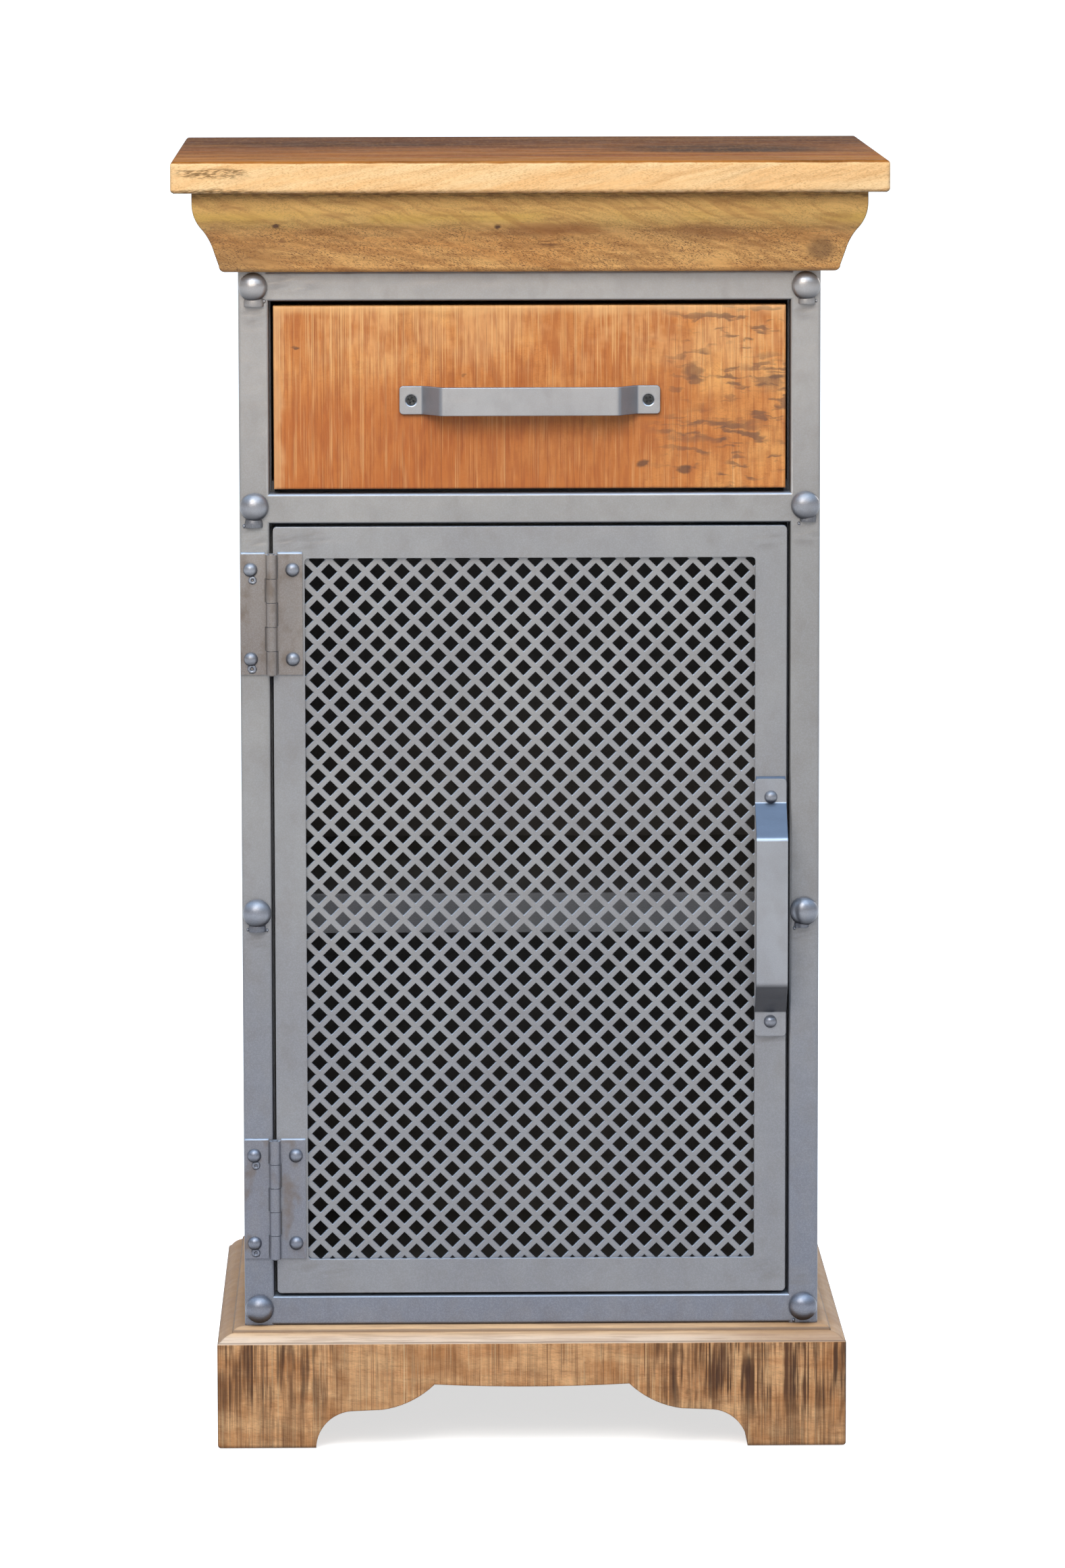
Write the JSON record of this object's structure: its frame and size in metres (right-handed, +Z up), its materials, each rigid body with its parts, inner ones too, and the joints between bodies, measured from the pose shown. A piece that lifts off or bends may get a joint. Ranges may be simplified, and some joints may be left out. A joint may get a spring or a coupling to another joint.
{
  "type": "side cabinet",
  "caption": "Narrow side cabinet with a moulded wooden top and bracket plinth on a steel-tube frame, with a drawer above a perforated steel door.",
  "frame": {"origin": "on the floor under the middle of the top board", "axes": "+Z up, front with drawer and door towards -Y, +X to the right seen from the front"},
  "size_m": [0.45, 0.35, 0.825],
  "materials": {
    "mango_top": "oiled, sawn grain",
    "mango_cornice": "oiled, moulded",
    "mango_plinth": "oiled, rough sawn",
    "mango_drawer": "oiled, rough sawn",
    "drawer_box_wood": "bare, planed",
    "frame_paint": "satin silver-grey paint",
    "sheet_paint": "satin grey paint",
    "door_paint": "satin silver-grey paint",
    "pull_paint": "satin silver-grey paint",
    "rivet_paint": "satin silver-grey paint",
    "hinge_paint": "satin silver-grey paint",
    "catch_plastic": "moulded"
  },
  "bodies": {
    "cabinet": {"top_board": "mango_top", "cornice_front": "mango_cornice", "cornice_left": "mango_cornice", "cornice_right": "mango_cornice", "cornice_back_batten": "mango_cornice", "plinth_front": "mango_plinth", "plinth_left": "mango_plinth", "plinth_right": "mango_plinth", "plinth_back": "mango_plinth", "post_front_left": "frame_paint", "post_front_right": "frame_paint", "post_back_left": "frame_paint", "post_back_right": "frame_paint", "rail_front_top": "frame_paint", "rail_front_middle": "frame_paint", "rail_front_bottom": "frame_paint", "rail_back_top": "frame_paint", "rail_back_bottom": "frame_paint", "rail_left_top": "frame_paint", "rail_left_middle": "frame_paint", "rail_left_shelf": "frame_paint", "rail_left_bottom": "frame_paint", "rail_right_top": "frame_paint", "rail_right_middle": "frame_paint", "rail_right_shelf": "frame_paint", "rail_right_bottom": "frame_paint", "side_panel_left": "sheet_paint", "side_panel_right": "sheet_paint", "back_panel": "sheet_paint", "bottom_panel": "sheet_paint", "shelf": "sheet_paint", "runner_left": "sheet_paint", "runner_right": "sheet_paint", "frame_rivets": "rivet_paint", "hinge_frame_leaves": "hinge_paint", "hinge_pins": "hinge_paint", "magnet_catch": "catch_plastic"},
    "drawer": {"drawer_front": "mango_drawer", "drawer_side_left": "drawer_box_wood", "drawer_side_right": "drawer_box_wood", "drawer_back": "drawer_box_wood", "drawer_bottom": "drawer_box_wood", "drawer_pull": "pull_paint"},
    "door": {"door_stile_left": "door_paint", "door_stile_right": "door_paint", "door_rail_top": "door_paint", "door_rail_bottom": "door_paint", "door_mesh": "door_paint", "door_pull": "pull_paint", "hinge_door_leaves": "hinge_paint"}
  },
  "joints": [
    {"name": "drawer_slide", "type": "slide", "parent": "cabinet", "child": "drawer", "axis": [0, -1, 0], "range_m": [0, 0.22]},
    {"name": "door_hinge", "type": "hinge", "parent": "cabinet", "child": "door", "pos_m": [-0.164, -0.1376, 0.345], "axis": [0, 0, -1], "range_deg": [0, 160]}
  ]
}
